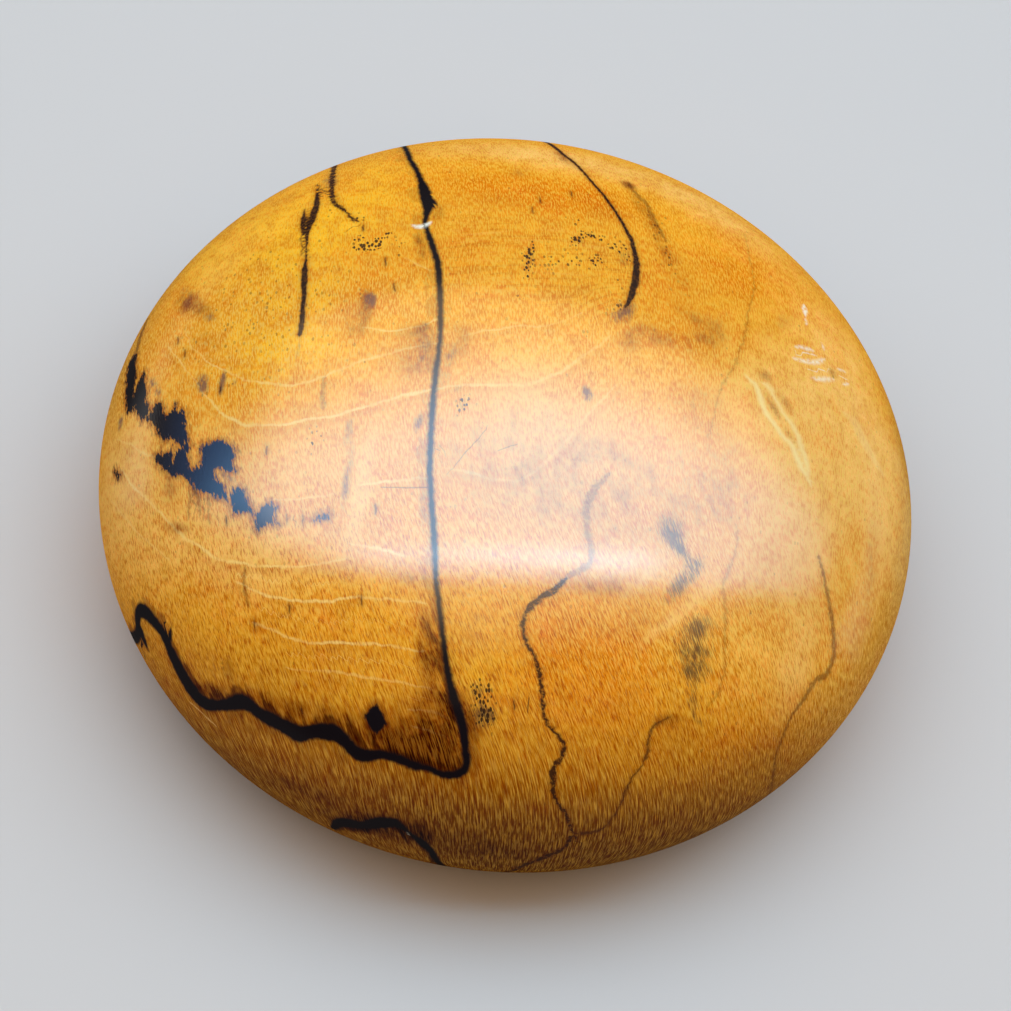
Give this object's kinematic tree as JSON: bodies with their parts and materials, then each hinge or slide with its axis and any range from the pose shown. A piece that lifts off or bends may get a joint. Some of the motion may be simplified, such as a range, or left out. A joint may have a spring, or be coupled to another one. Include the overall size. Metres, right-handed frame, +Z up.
{
  "type": "wooden paperweight",
  "caption": "Low round turned hardwood paperweight with a domed top, a curled-under belly and a flat base, in dark-lined spalted wood with a satin polish.",
  "frame": {"origin": "centre of the flat base, on the surface that the paperweight stands on", "axes": "+Z up along the axis that it was turned on; -Y is the side nearest the viewer, with +X to the viewer's right"},
  "size_m": [0.09, 0.09, 0.041],
  "materials": {
    "spalted_wood": "satin polished clear finish"
  },
  "bodies": {
    "root": {"paperweight": "spalted_wood"}
  },
  "joints": []
}
